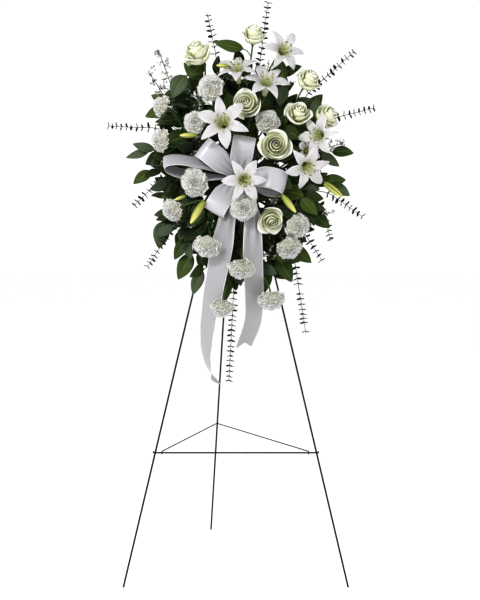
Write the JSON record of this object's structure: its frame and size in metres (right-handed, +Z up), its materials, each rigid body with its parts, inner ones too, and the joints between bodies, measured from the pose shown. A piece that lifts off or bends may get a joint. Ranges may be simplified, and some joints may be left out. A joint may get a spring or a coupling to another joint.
{
  "type": "standing funeral arrangement",
  "caption": "Standing spray of white roses, lilies and carnations with greens and a satin bow, on a folding wire easel.",
  "frame": {"origin": "on the floor, under the middle of the arrangement's plan outline", "axes": "+Z up, -Y towards the front of the spray, +X to the viewer's right"},
  "size_m": [0.6874, 0.6665, 1.5152],
  "materials": {
    "wire_paint": "satin",
    "cage_plastic": "matt",
    "foam_green": "porous, wet",
    "satin_white": "satin weave",
    "petal_white": "soft petal",
    "leaf_green": "waxy leaf",
    "eucalyptus_green": "matt leaf",
    "filler_white": "matt bud"
  },
  "bodies": {
    "stand": {"leg_left": "wire_paint", "leg_right": "wire_paint", "head_pin": "wire_paint", "brace_front": "wire_paint", "foam_cage": "cage_plastic", "foam_block": "foam_green", "ribbon_bow": "satin_white", "rose_1": "petal_white", "rose_2": "petal_white", "rose_3": "petal_white", "rose_4": "petal_white", "rose_5": "petal_white", "rose_6": "petal_white", "rose_7": "petal_white", "rose_8": "petal_white", "lily_1": "petal_white", "lily_2": "petal_white", "lily_3": "petal_white", "lily_4": "petal_white", "lily_5": "petal_white", "lily_6": "petal_white", "lily_7": "petal_white", "carnation_1": "petal_white", "carnation_2": "petal_white", "carnation_3": "petal_white", "carnation_4": "petal_white", "carnation_5": "petal_white", "carnation_6": "petal_white", "carnation_7": "petal_white", "carnation_8": "petal_white", "carnation_9": "petal_white", "carnation_10": "petal_white", "carnation_11": "petal_white", "carnation_12": "petal_white", "carnation_13": "petal_white", "carnation_14": "petal_white", "alstroemeria": "petal_white", "branch_top": "leaf_green", "branch_upper_left": "leaf_green", "branch_left": "leaf_green", "branch_lower_left": "leaf_green", "branch_bottom": "leaf_green", "branch_lower_right": "leaf_green", "branch_right": "leaf_green", "branch_upper_right": "leaf_green", "branch_front_upper": "leaf_green", "branch_front_lower": "leaf_green", "eucalyptus_top_left": "eucalyptus_green", "eucalyptus_top": "eucalyptus_green", "eucalyptus_upper_right": "eucalyptus_green", "eucalyptus_left": "eucalyptus_green", "eucalyptus_lower_left": "eucalyptus_green", "eucalyptus_bottom": "eucalyptus_green", "eucalyptus_lower_right": "eucalyptus_green", "eucalyptus_right": "eucalyptus_green", "filler_left": "filler_white", "filler_right": "filler_white"},
    "rear_leg": {"leg_rear": "wire_paint"},
    "rear_brace": {"brace_rear": "wire_paint"}
  },
  "joints": [
    {"name": "rear_leg_fold", "type": "hinge", "parent": "stand", "child": "rear_leg", "pos_m": [-0.017, -0.022, 1.167], "axis": [1, 0, 0], "range_deg": [-22, 0]},
    {"name": "rear_brace_fold", "type": "hinge", "parent": "stand", "child": "rear_brace", "pos_m": [-0.0135, -0.1694, 0.343], "axis": [1, 0, 0], "range_deg": [0, 68.75]}
  ],
  "couplings": [
    {"joint": "rear_brace_fold", "follows": "rear_leg_fold", "ratio": -3.125}
  ]
}
